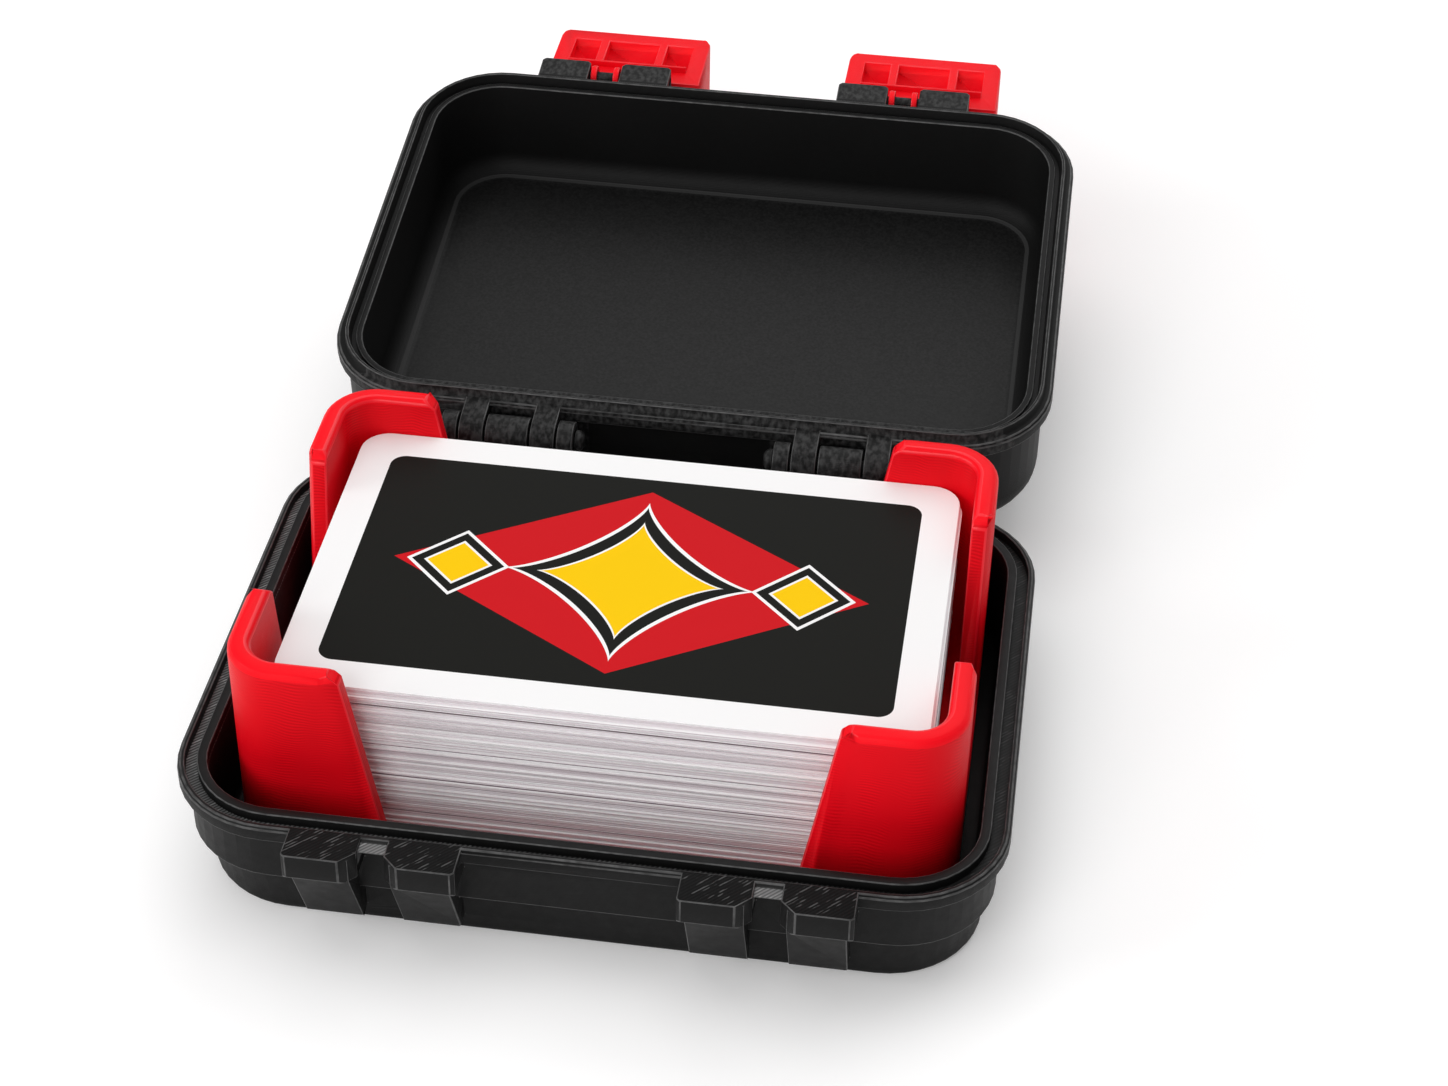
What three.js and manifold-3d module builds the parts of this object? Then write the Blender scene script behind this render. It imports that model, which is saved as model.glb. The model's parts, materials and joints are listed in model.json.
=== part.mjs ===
// Hinged card storage box, shown open with its lid laid back and its latches swung out.
// Millimetres, +Z up, front towards -Y. The origin is the middle of the underside of the base.
import * as THREE from "three";
import { mergeVertices } from "three/addons/utils/BufferGeometryUtils.js";
import Module from "manifold-3d";

const wasm = await Module();
wasm.setup();

// Cards
const cardWidth = 87;
const cardDepth = 56;
const cardCornerRadius = 4;
const cardThickness = 0.3;
const cardsInPacket = 10;
const packetCount = 8;
const packetGap = 0.05;
const deckScatter = 0.15;

// Clear space round the deck, inside the holder
const cardSideGap = 2.15;
const deckFrontGap = 2.85;
const deckRearGap = 0.25;
const deckSeatGap = 0.3;

// Card holder
const holderWall = 3.05;
const holderFloor = 1.6;
const postRise = 5.9;
const holderWidth = cardWidth + 2 * (cardSideGap + holderWall);
const holderDepth = cardDepth + deckFrontGap + deckRearGap + 2 * holderWall;
const holderHeight = holderFloor + deckSeatGap + packetCount * cardsInPacket * cardThickness + postRise;
const holderCornerRadius = 7.5;
const holderTopRadius = 1.3;
const holderInnerEase = 0.6;
const frontWingLength = 16;
const rearWingLength = 15.2;
const sideWingLength = 18;
const windowSlope = 0.18;
const windowCornerCut = 1.4;
const windowBevelWidth = 2.3;
const windowBevelDepth = 0.9;

// Clear space round the holder, inside the case
const holderSideGap = 2.5;
const holderFrontGap = 8;
const holderRearGap = 0.8;
const holderSeatGap = 0.3;
const headroom = 1.9;

// Walls of the two shells
const rimWidth = 4;
const flangeHeight = 2.2;
const flangeReach = 1.4;
const flangeEase = 0.4;
const waistHeight = 8.7;
const waistStep = 1.5;
const waistEase = 0.3;
const bottomEdgeRadius = 1.4;
const waistFrontLean = 0.5;
const footFrontLean = 1.3;
const insideLeanShare = 1.4;
const lidEdgeRadius = 5.5;
const floorThickness = 2.4;
const roofThickness = 2.2;
const floorFillet = 1;
const roofFillet = 3.5;

// Case outline
const caseWidth = holderWidth + 2 * (holderSideGap + rimWidth);
const caseDepth = holderDepth + holderFrontGap + holderRearGap + 2 * rimWidth;
const caseCornerRadius = 14.7;
const baseHeight = 18.8;
const partingGap = 0.3;
const holderTop = floorThickness + holderSeatGap + holderHeight;
const lidHeight = holderTop + headroom + roofThickness - baseHeight - partingGap;

// Tongue and groove round the rims
const outerBandWidth = 1;
const bandRootShare = 0.9;
const grooveWidth = 1.6;
const grooveDepth = 1.5;
const tongueClearance = 0.3;
const tongueEngagement = 0.9;
const tongueTipTaper = 0.35;
const recessWidth = 0.7;
const recessDepth = 0.5;

// Hinges
const hingeStandOff = 3.5;
const hingeRise = 3;
const hingeSpacing = 50;
const barrelRadius = 2.8;
const wideKnuckleWidth = 6.4;
const lidKnuckleWidth = 3.7;
const endKnuckleWidth = 2.4;
const knuckleGap = 0.35;
const baseGussetDrop = 8;
const lidGussetRise = 8;
const hingePinRadius = 1.2;
const hingePinHeadRadius = 1.6;
const hingePinHeadLength = 1.3;
const hingePinHeadEase = 1;
const hingePinHeadGap = 0.2;
const hingePinRecess = 0.3;
const baseBoreClearance = 0.1;
const lidBoreClearance = 0.2;
const lidOpenAngleDeg = 172.8;
const heelReach = 4.2;
const heelDrop = 1;
const heelRunIn = 0.4;
const heelGap = 0.3;
const heelRoot = 0.3;

// Rib pairs on the front walls
const ribPairSpacing = 51;
const baseRibPairWidth = 22.6;
const baseRibWidth = 9.5;
const baseRibReach = 4.5;
const lidRibPairWidth = 22.2;
const lidRibWidth = 8.4;
const lidRibReach = 5.2;
const baseHeadHeight = 4.2;
const lidHeadHeight = 3.5;
const ribStepFront = 0.9;
const ribStepSide = 0.9;
const ribCornerCut = 2;
const ribEase = 0.5;
const ribToeHeight = 1;
const ribToeReach = 0.4;
const legToeInset = 1.6;
const baseRibFoot = 3.4;
const legRootInset = 3.9;
const legFootInset = 4.8;
const lidRibFoot = 13.2;
const notchRampReach = 1.9;
const notchRampDrop = 0.5;

// Latches
const latchPinReach = 3.4;
const latchPinRise = 2;
const latchPinRadius = 1;
const latchPinRecess = 0.4;
const ribBoreClearance = 0.1;
const latchOpenAngleDeg = 97.2;
const latchArmRadius = 2;
const latchArmWidth = 1;
const latchArmSideGap = 0.3;
const armBoreClearance = 0.2;
const latchSideShift = 2.4;
const latchWidth = 26.4;
const latchFaceOffset = 1.6;
const latchThickness = 9.6;
const latchLength = 19.5;
const latchShoulder = 3;
const latchTipRadius = 2.6;
const latchOuterEase = 1.5;
const latchInnerEase = 0.5;
const pocketTop = 7.7;
const pocketBottom = 16.1;
const pocketDepth = 1.6;
const pocketDivider = 1.5;
const pocketSideWall = 2.8;
const middlePocketWidth = 8.8;
const hookGap = 0.3;
const hookBite = 0.6;
const hookLipHeight = 0.4;
const hookHeight = 0.8;

// Modelling values
const cutOverrun = 2;
const weldTolerance = 0.001;
const cornerSteps = 10;
const edgeSteps = 5;
const roundSides = 24;
const barrelSides = 28;

// Colours, with roughness
const blackPlastic = new THREE.MeshStandardMaterial({ color: 0x1b1b1d, roughness: 0.55, metalness: 0 });
const redPlastic = new THREE.MeshStandardMaterial({ color: 0xd3141f, roughness: 0.42, metalness: 0 });
const cardStock = new THREE.MeshStandardMaterial({ color: 0xf1f0f2, roughness: 0.4, metalness: 0 });

// Places that several pieces share
const quarterTurn = Math.PI / 2;
const halfTurn = Math.PI;
const lidRimZ = baseHeight + partingGap;
const flangeY = caseDepth / 2;
const upperWallY = flangeY - flangeReach;
const insideWallY = flangeY - rimWidth;
const midWallY = (upperWallY + insideWallY) / 2;
const lowerInset = flangeReach + waistStep;
const bandY = flangeY - outerBandWidth * bandRootShare;
const hingeY = flangeY + hingeStandOff;
const hingeZ = baseHeight + hingeRise;
const latchPinY = -(flangeY + latchPinReach);
const latchPinZ = lidRimZ + latchPinRise;
const lidOpenAngle = THREE.MathUtils.degToRad(lidOpenAngleDeg);
const latchOpenAngle = THREE.MathUtils.degToRad(latchOpenAngleDeg);
const holderZ = floorThickness + holderSeatGap;
const holderY = insideWallY - holderRearGap - holderDepth / 2;
const deckZ = holderZ + holderFloor + deckSeatGap;
const deckY = holderY + holderDepth / 2 - holderWall - deckRearGap - cardDepth / 2;

// A closed manifold solid from a three.js geometry.
function solidOf(geometry) {
  const bare = geometry.clone();
  bare.deleteAttribute("normal");
  bare.deleteAttribute("uv");
  const welded = mergeVertices(bare, weldTolerance);
  return new wasm.Manifold(
    new wasm.Mesh({
      numProp: 3,
      vertProperties: new Float32Array(welded.attributes.position.array),
      triVerts: new Uint32Array(welded.index.array),
    }),
  );
}

// A named three.js mesh from a manifold solid.
function meshOf(name, solid, material) {
  const data = solid.getMesh();
  const geometry = new THREE.BufferGeometry();
  geometry.setAttribute("position", new THREE.BufferAttribute(data.vertProperties, data.numProp));
  geometry.setIndex(new THREE.BufferAttribute(data.triVerts, 1));
  geometry.computeVertexNormals();
  const mesh = new THREE.Mesh(geometry, material);
  mesh.name = name;
  return mesh;
}

const joined = (solids) => solids.reduce((sum, next) => sum.add(next));

// Points on an arc, with both ends. Angles are measured from the first axis towards the second.
function arc(u, v, radius, from, to, steps = edgeSteps) {
  return Array.from({ length: steps + 1 }, (_, i) => {
    const angle = from + ((to - from) * i) / steps;
    return [u + radius * Math.cos(angle), v + radius * Math.sin(angle)];
  });
}

const circle = (u, v, radius, sides = barrelSides) =>
  arc(u, v, radius, 0, 2 * Math.PI, sides).slice(0, sides);

// The convex outline round a set of points, anticlockwise.
function wrapped(points) {
  const sorted = [...points].sort((a, b) => a[0] - b[0] || a[1] - b[1]);
  const turn = (a, b, c) => (b[0] - a[0]) * (c[1] - a[1]) - (b[1] - a[1]) * (c[0] - a[0]);
  const chain = (list) => {
    const kept = [];
    for (const point of list) {
      while (kept.length > 1 && turn(kept.at(-2), kept.at(-1), point) <= 0) kept.pop();
      kept.push(point);
    }
    return kept.slice(0, -1);
  };
  return [...chain(sorted), ...chain(sorted.reverse())];
}

// Rings of equal point counts joined in order and capped at both ends.
function ringSolid(rings) {
  const count = rings[0].length;
  const index = [];
  for (let r = 0; r + 1 < rings.length; r++)
    for (let i = 0; i < count; i++) {
      const [a, b] = [r * count + i, r * count + ((i + 1) % count)];
      index.push(a, b, b + count, a, b + count, a + count);
    }
  const capTriangles = (ring) =>
    THREE.ShapeUtils.triangulateShape(ring.map((p) => new THREE.Vector2(p[0], p[1])), []);
  const lastStart = (rings.length - 1) * count;
  for (const [a, b, c] of capTriangles(rings[0])) index.push(a, c, b);
  for (const [a, b, c] of capTriangles(rings.at(-1))) index.push(lastStart + a, lastStart + b, lastStart + c);
  const geometry = new THREE.BufferGeometry();
  geometry.setAttribute("position", new THREE.Float32BufferAttribute(rings.flat(2), 3));
  geometry.setIndex(index);
  return geometry;
}

// The corner-rounded rectangle that lies an inset inside an outline, at a height. A front lean brings
// its front further in, and rounds the two front corners by as much more.
function insetRing(outline, inset, z, frontLean = 0) {
  const rear = outline.radius - inset;
  const front = rear + frontLean;
  const [x, y] = [outline.width / 2 - inset, outline.depth / 2 - inset];
  const corners = [
    [x - rear, y - rear, rear],
    [rear - x, y - rear, rear],
    [front - x, frontLean + front - y, front],
    [x - front, frontLean + front - y, front],
  ];
  return corners.flatMap(([u, v, radius], i) =>
    arc(u, v, radius, i * quarterTurn, (i + 1) * quarterTurn, cornerSteps).map(([a, b]) => [a, b, z]),
  );
}

// A tray swept from a wall profile of [inset, height] points, floor to floor over the rim.
const tray = (outline, profile) =>
  ringSolid(profile.map(([inset, z, frontLean]) => insetRing(outline, inset, z, frontLean)));

function shapeOf(points) {
  return new THREE.Shape(points.map(([u, v]) => new THREE.Vector2(u, v)));
}

// A bar of constant section in the Y-Z plane, from one X to another.
function bar(points, fromX, toX) {
  const geometry = new THREE.ExtrudeGeometry(shapeOf(points), { depth: toX - fromX, bevelEnabled: false });
  const [x, y, z] = [new THREE.Vector3(1, 0, 0), new THREE.Vector3(0, 1, 0), new THREE.Vector3(0, 0, 1)];
  geometry.applyMatrix4(new THREE.Matrix4().makeBasis(y, z, x));
  geometry.translate(fromX, 0, 0);
  return solidOf(geometry);
}

// A plate of constant outline in the X-Y plane, from one Z to another.
function plate(points, fromZ, toZ) {
  const geometry = new THREE.ExtrudeGeometry(shapeOf(points), { depth: toZ - fromZ, bevelEnabled: false });
  geometry.translate(0, 0, fromZ);
  return solidOf(geometry);
}

const rod = (y, z, radius, fromX, toX, sides = roundSides) => bar(circle(y, z, radius, sides), fromX, toX);

const caseOutline = { width: caseWidth, depth: caseDepth, radius: caseCornerRadius };

function baseTray() {
  const grooveStart = outerBandWidth;
  const grooveEnd = outerBandWidth + grooveWidth;
  const flangeBottom = baseHeight - flangeHeight;
  const edge = lowerInset + bottomEdgeRadius;
  const fillet = rimWidth + floorFillet;
  const leaned = (points, lean) => points.map(([inset, z]) => [inset, z, lean]);
  return tray(caseOutline, [
    ...leaned(arc(edge, bottomEdgeRadius, bottomEdgeRadius, -quarterTurn, -halfTurn), footFrontLean),
    [lowerInset, waistHeight - waistEase, waistFrontLean],
    [flangeReach, waistHeight + waistEase],
    [flangeReach, flangeBottom],
    [0, flangeBottom],
    [0, baseHeight - flangeEase],
    [flangeEase, baseHeight],
    [grooveStart, baseHeight],
    [grooveStart, baseHeight - grooveDepth],
    [grooveEnd, baseHeight - grooveDepth],
    [grooveEnd, baseHeight],
    [rimWidth, baseHeight],
    [rimWidth, waistHeight + waistEase],
    [rimWidth, waistHeight - waistEase, waistFrontLean * insideLeanShare],
    ...leaned(
      arc(fillet, floorThickness + floorFillet, floorFillet, halfTurn, halfTurn + quarterTurn),
      footFrontLean * insideLeanShare,
    ),
  ]);
}

// The lid as a tray that opens upwards, with its rim at height zero.
function lidTray() {
  const tongueStart = outerBandWidth + tongueClearance;
  const tongueEnd = outerBandWidth + grooveWidth - tongueClearance;
  const tongueTip = partingGap + tongueEngagement;
  const recessEnd = tongueEnd + recessWidth;
  const inside = lidHeight - roofThickness;
  return tray(caseOutline, [
    ...arc(flangeReach + lidEdgeRadius, lidEdgeRadius - lidHeight, lidEdgeRadius, -quarterTurn, -halfTurn),
    [flangeReach, -flangeHeight],
    [0, -flangeHeight],
    [0, -flangeEase],
    [flangeEase, 0],
    [tongueStart, 0],
    [tongueStart + tongueTipTaper / 2, tongueTip],
    [tongueEnd - tongueTipTaper, tongueTip],
    [tongueEnd, -recessDepth],
    [recessEnd, -recessDepth],
    [recessEnd, 0],
    [rimWidth, 0],
    ...arc(rimWidth + roofFillet, roofFillet - inside, roofFillet, halfTurn, halfTurn + quarterTurn),
  ]);
}

// The X spans of one hinge, from the middle knuckle outwards, on both of its sides.
const innerLidKnuckle = wideKnuckleWidth / 2 + knuckleGap;
const endKnuckle = innerLidKnuckle + lidKnuckleWidth + knuckleGap;
const hingeHalfWidth = endKnuckle + endKnuckleWidth;

function bothSides(from, to) {
  return [[-to, -from], [from, to]];
}

// A base knuckle: the barrel and the slanted gusset that carries it off the back wall.
function baseKnuckle(fromX, toX) {
  const lean = (barrelRadius + hingeStandOff + flangeReach) / (hingeRise + baseGussetDrop);
  const bottom = baseHeight - baseGussetDrop - (upperWallY - midWallY) / lean;
  const underGroove = baseHeight - grooveDepth - flangeEase;
  const outline = [
    [hingeY - barrelRadius, hingeZ],
    [hingeY - barrelRadius, baseHeight],
    [bandY, baseHeight],
    [bandY, underGroove],
    [midWallY, underGroove],
    [midWallY, bottom],
    [hingeY + barrelRadius, hingeZ],
  ];
  return bar(outline, fromX, toX).add(rod(hingeY, hingeZ, barrelRadius, fromX, toX, barrelSides));
}

// A place on the closed lid, measured from the hinge axis, once the lid is open.
function openedFromAxis(y, z) {
  const [dy, dz] = [y - hingeY, z - hingeZ];
  return [
    dy * Math.cos(lidOpenAngle) + dz * Math.sin(lidOpenAngle),
    dz * Math.cos(lidOpenAngle) - dy * Math.sin(lidOpenAngle),
  ];
}

// The heel on the wide knuckle, which the flange of the open lid lands on.
function stopHeel(fromX, toX) {
  const [, landing] = openedFromAxis(flangeY, lidRimZ + flangeHeight);
  const top = hingeZ + landing - heelGap;
  const root = hingeY + barrelRadius - heelRoot;
  return bar(
    [
      [root, hingeZ - heelDrop],
      [hingeY + heelReach, hingeZ - heelDrop + heelRunIn],
      [hingeY + heelReach, top],
      [root, top],
    ],
    fromX,
    toX,
  );
}

// A lid knuckle, in the closed pose: the barrel, faired into the flange and up the back wall.
function lidKnuckle(fromX, toX) {
  const outline = wrapped([
    ...circle(hingeY, hingeZ, barrelRadius),
    [bandY, lidRimZ],
    [midWallY, lidRimZ + lidGussetRise],
  ]);
  return bar(outline, fromX, toX);
}

// A catch rib on the base: a square head flush with the rim, on a leg that slopes in to the wall.
function baseRib(fromX, toX, cutSide) {
  const front = -(flangeY + baseRibReach);
  const headBottom = baseHeight - baseHeadHeight;
  const underGroove = baseHeight - grooveDepth - flangeEase;
  const head = bar(
    [
      [front, headBottom + ribEase],
      [front + ribEase, headBottom],
      [-midWallY, headBottom],
      [-midWallY, underGroove],
      [-bandY, underGroove],
      [-bandY, baseHeight],
      [front, baseHeight],
    ],
    fromX,
    toX,
  );
  const leg = bar(
    [
      [front + ribStepFront, baseHeight - ribEase],
      [front + ribStepFront, headBottom],
      [legToeInset - flangeY - ribToeReach, baseRibFoot + ribToeHeight],
      [legToeInset - flangeY, baseRibFoot],
      [legFootInset - flangeY, baseRibFoot],
      [legRootInset - flangeY, waistHeight - waistEase],
      [-midWallY, waistHeight + waistEase],
      [-midWallY, underGroove],
      [-bandY, underGroove],
      [-bandY, baseHeight - ribEase],
    ],
    fromX + ribStepSide,
    toX - ribStepSide,
  );
  return head.intersect(ribPlan(fromX, toX, front, cutSide, headBottom, baseHeadHeight)).add(leg);
}

// The plan of a rib head. Its front corner beside the notch is cut away.
function ribPlan(fromX, toX, front, cutSide, fromZ, height) {
  const left = cutSide < 0 ? ribCornerCut : ribEase;
  const right = cutSide > 0 ? ribCornerCut : ribEase;
  const outline = [
    [fromX, front + left],
    [fromX + left, front],
    [toX - right, front],
    [toX, front + right],
    [toX, 0],
    [fromX, 0],
  ];
  return plate(outline, fromZ - cutOverrun, fromZ + height + cutOverrun);
}

// A pin rib on the lid, in the closed pose: a head that holds the latch pin, and a leg above it.
function lidRib(fromX, toX) {
  const front = -(flangeY + lidRibReach);
  const headTop = lidRimZ + lidHeadHeight;
  const head = bar(
    [
      [front + ribEase, headTop],
      [front, headTop - ribEase],
      [front, lidRimZ],
      [-bandY, lidRimZ],
      [-midWallY, headTop],
    ],
    fromX,
    toX,
  );
  const leg = bar(
    [
      [front + ribStepFront, headTop - ribEase],
      [-bandY, headTop - ribEase],
      [-midWallY, lidRimZ + lidRibFoot],
      [-(upperWallY + ribToeReach), lidRimZ + lidRibFoot],
      [-(upperWallY + ribToeReach + ribStepFront), lidRimZ + lidRibFoot - ribToeHeight],
      [front + ribStepFront, headTop],
    ],
    fromX + ribStepSide,
    toX - ribStepSide,
  );
  const plan = ribPlan(fromX, toX, front, 0, lidRimZ, lidHeadHeight);
  return head.intersect(plan).add(leg);
}

// The small ramp at the flange between the two ribs of a base pair.
function notchRamp(fromX, toX) {
  const top = baseHeight - notchRampDrop;
  return bar(
    [
      [-(flangeY + notchRampReach), top],
      [-bandY, top],
      [-bandY, top - notchRampReach],
    ],
    fromX,
    toX,
  );
}

const sides = [["left", -1], ["right", 1]];

function makeBase() {
  let body = solidOf(baseTray());
  for (const [, side] of sides) {
    const hinge = (side * hingeSpacing) / 2;
    const halfWide = wideKnuckleWidth / 2;
    body = body.add(baseKnuckle(hinge - halfWide, hinge + halfWide));
    body = body.add(stopHeel(hinge - halfWide, hinge + halfWide));
    for (const [from, to] of bothSides(endKnuckle, hingeHalfWidth))
      body = body.add(baseKnuckle(hinge + from, hinge + to));
    const bore = hingePinRadius + baseBoreClearance;
    const reach = hingeHalfWidth + cutOverrun;
    body = body.subtract(rod(hingeY, hingeZ, bore, hinge - reach, hinge + reach));

    const pair = (side * ribPairSpacing) / 2;
    const half = baseRibPairWidth / 2;
    body = body.add(baseRib(pair - half, pair - half + baseRibWidth, 1));
    body = body.add(baseRib(pair + half - baseRibWidth, pair + half, -1));
    const notch = half - baseRibWidth + ribStepSide;
    body = body.add(notchRamp(pair - notch, pair + notch));
  }
  return meshOf("base_shell", body, blackPlastic);
}

function makeLid() {
  const shell = lidTray();
  shell.rotateX(halfTurn);
  shell.translate(0, 0, lidRimZ);
  let body = solidOf(shell);
  for (const [, side] of sides) {
    const hinge = (side * hingeSpacing) / 2;
    for (const [from, to] of bothSides(innerLidKnuckle, innerLidKnuckle + lidKnuckleWidth))
      body = body.add(lidKnuckle(hinge + from, hinge + to));
    const bore = hingePinRadius + lidBoreClearance;
    const reach = hingeHalfWidth + cutOverrun;
    body = body.subtract(rod(hingeY, hingeZ, bore, hinge - reach, hinge + reach));

    const pair = (side * ribPairSpacing) / 2;
    const half = lidRibPairWidth / 2;
    body = body.add(lidRib(pair - half, pair - half + lidRibWidth));
    body = body.add(lidRib(pair + half - lidRibWidth, pair + half));
    const pinBore = latchPinRadius + ribBoreClearance;
    const pinReach = half + cutOverrun;
    body = body.subtract(rod(latchPinY, latchPinZ, pinBore, pair - pinReach, pair + pinReach));
  }
  return meshOf("lid_shell", body, blackPlastic);
}

// A hinge pin turned about X, with a domed head at the end that faces the middle of the box.
function makeHingePin(name, side) {
  const length = 2 * hingeHalfWidth + hingePinHeadGap - hingePinRecess;
  const end = length + hingePinHeadLength;
  const geometry = new THREE.LatheGeometry(
    [
      [0, 0],
      [hingePinRadius, 0],
      [hingePinRadius, length],
      [hingePinHeadRadius, length],
      ...arc(hingePinHeadRadius - hingePinHeadEase, end - hingePinHeadEase, hingePinHeadEase, 0, quarterTurn),
      [0, end],
    ].map(([r, h]) => new THREE.Vector2(r, h)),
    roundSides,
  );
  geometry.rotateZ(side * quarterTurn);
  geometry.translate(side * (hingeSpacing / 2 + hingeHalfWidth - hingePinRecess), hingeY, hingeZ);
  return meshOf(name, solidOf(geometry), blackPlastic);
}

// A latch in its closed pose, with its pin at the origin. Two arms between the lid's ribs carry a thick
// plate, which hangs in front of the ribs and a little to one side of them.
function makeLatch(name) {
  const half = latchWidth / 2;
  const [left, right] = [latchSideShift - half, latchSideShift + half];
  const inner = -latchFaceOffset;
  const outer = inner - latchThickness;
  const plateOutline = [
    [inner, -latchShoulder],
    [inner, latchInnerEase - latchLength],
    [inner - latchInnerEase, -latchLength],
    [outer + latchOuterEase, -latchLength],
    [outer, latchOuterEase - latchLength],
    [outer, -latchShoulder - latchOuterEase],
    [outer + latchOuterEase, -latchShoulder],
  ];
  let body = bar(plateOutline, left, right).add(latchHook(left, right, inner));
  body = body.intersect(latchFrontOutline(left, right));
  for (const [from, to] of latchPocketSpans(half))
    body = body.subtract(latchPocket(latchSideShift + from, latchSideShift + to, inner));

  const armFace = lidRibPairWidth / 2 - lidRibWidth - latchArmSideGap;
  for (const [from, to] of bothSides(armFace - latchArmWidth, armFace))
    body = body.add(latchArm(from, to, inner));
  const bore = latchPinRadius + armBoreClearance;
  body = body.subtract(rod(0, 0, bore, -armFace - cutOverrun, armFace + cutOverrun));
  return meshOf(name, body, redPlastic);
}

// One arm: an eye round the pin, and a crook that passes in front of the base rib to the plate.
function latchArm(fromX, toX, inner) {
  const root = -latchShoulder - latchInnerEase;
  const crook = [
    [inner, root],
    [inner, 0],
    [0, latchArmRadius],
    [inner - latchArmRadius, 0],
    [inner - latchArmRadius, root],
  ];
  return bar(crook, fromX, toX).add(rod(0, 0, latchArmRadius, fromX, toX));
}

// The bar on the inner face that hooks under the heads of the base ribs.
function latchHook(left, right, inner) {
  const top = baseHeight - baseHeadHeight - hookGap - latchPinZ;
  const tip = latchPinReach - baseRibReach + hookBite;
  const outline = [
    [inner - latchInnerEase, top],
    [tip, top],
    [tip, top - hookLipHeight],
    [inner - latchInnerEase, top - hookHeight],
  ];
  return bar(outline, left + pocketSideWall, right - pocketSideWall);
}

// The latch seen from the front: square at the pin, with rounded corners at its tip.
function latchFrontOutline(left, right) {
  const bottom = latchTipRadius - latchLength;
  const outline = [
    ...arc(left + latchTipRadius, bottom, latchTipRadius, -halfTurn, -quarterTurn),
    ...arc(right - latchTipRadius, bottom, latchTipRadius, -quarterTurn, 0),
    [right, cutOverrun],
    [left, cutOverrun],
  ];
  const depth = latchFaceOffset + latchThickness + 2 * cutOverrun;
  const geometry = new THREE.ExtrudeGeometry(shapeOf(outline), { depth, bevelEnabled: false });
  geometry.rotateX(quarterTurn);
  geometry.translate(0, cutOverrun, 0);
  return solidOf(geometry);
}

// The X spans of the three pockets, from the middle of the plate.
function latchPocketSpans(half) {
  const middle = middlePocketWidth / 2;
  return [[-middle, middle], ...bothSides(middle + pocketDivider, half - pocketSideWall)];
}

function latchPocket(fromX, toX, face) {
  const outline = [
    [face - pocketDepth, -pocketBottom],
    [face + cutOverrun, -pocketBottom],
    [face + cutOverrun, -pocketTop],
    [face - pocketDepth, -pocketTop],
  ];
  return bar(outline, fromX, toX);
}

function makeLatchPin(name) {
  const half = lidRibPairWidth / 2 - latchPinRecess;
  return meshOf(name, rod(0, 0, latchPinRadius, -half, half), blackPlastic);
}

// A cutter for one window between two posts. Its edges slope, and flare at the outer face.
function windowCutter(topWidth, wallDistance) {
  const clear = holderHeight - holderFloor;
  const top = topWidth / 2;
  const foot = top - windowSlope * clear;
  const shoulder = holderHeight - windowCornerCut;
  const above = holderHeight + windowCornerCut;
  const flare = 2 * windowCornerCut;
  const ring = (grow, distance) => [
    [-foot - grow, holderFloor, distance],
    [foot + grow, holderFloor, distance],
    [top + grow - windowSlope * windowCornerCut, shoulder, distance],
    [top + grow + flare, above, distance],
    [-top - grow - flare, above, distance],
    [-top - grow + windowSlope * windowCornerCut, shoulder, distance],
  ];
  const outerFace = wallDistance;
  const geometry = ringSolid([
    ring(0, outerFace - holderWall - cutOverrun),
    ring(0, outerFace - windowBevelDepth),
    ring(windowBevelWidth, outerFace),
    ring(windowBevelWidth, outerFace + cutOverrun),
  ]);
  geometry.rotateX(quarterTurn);
  return geometry;
}

function makeHolder() {
  const outline = { width: holderWidth, depth: holderDepth, radius: holderCornerRadius };
  const shell = tray(outline, [
    [holderInnerEase, 0],
    [0, holderInnerEase],
    ...arc(holderTopRadius, holderHeight - holderTopRadius, holderTopRadius, halfTurn, quarterTurn),
    [holderWall - holderInnerEase, holderHeight],
    [holderWall, holderHeight - holderInnerEase],
    [holderWall, holderFloor],
  ]);
  const windows = [
    [holderWidth - 2 * frontWingLength, holderDepth / 2, 0],
    [holderDepth - 2 * sideWingLength, holderWidth / 2, quarterTurn],
    [holderWidth - 2 * rearWingLength, holderDepth / 2, halfTurn],
    [holderDepth - 2 * sideWingLength, holderWidth / 2, -quarterTurn],
  ];
  let body = solidOf(shell);
  for (const [width, distance, turn] of windows) {
    const cutter = windowCutter(width, distance);
    cutter.rotateZ(turn);
    body = body.subtract(solidOf(cutter));
  }
  const mesh = meshOf("card_holder", body, redPlastic);
  mesh.position.set(0, holderY, holderZ);
  return mesh;
}

function cardOutline() {
  const outline = { width: cardWidth, depth: cardDepth, radius: cardCornerRadius };
  return insetRing(outline, 0, 0).map(([x, y]) => [x, y]);
}

// The deck, as packets of cards that lie a little off each other, and the top card by itself.
const packetShiftShares = [
  [0.6, -0.9],
  [-0.8, -0.3],
  [0.3, -0.6],
  [-0.4, -1],
  [0.9, -0.2],
  [-0.9, -0.7],
  [0.2, -0.4],
  [0, 0],
];

function makeDeck() {
  const pitch = cardThickness * cardsInPacket;
  const meshes = [];
  for (let i = 0; i < packetCount; i++) {
    const isTop = i === packetCount - 1;
    const thickness = pitch - packetGap - (isTop ? cardThickness : 0);
    const mesh = meshOf("card_packet_" + (i + 1), plate(cardOutline(), 0, thickness), cardStock);
    const [shiftX, shiftY] = packetShiftShares[i % packetShiftShares.length];
    mesh.position.set(shiftX * deckScatter, deckY + shiftY * deckScatter, deckZ + i * pitch);
    meshes.push(mesh);
  }
  const topCard = meshOf("top_card", plate(cardOutline(), 0, cardThickness - packetGap), cardStock);
  topCard.position.set(0, deckY, deckZ + packetCount * pitch - cardThickness);
  return [...meshes, topCard];
}

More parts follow.
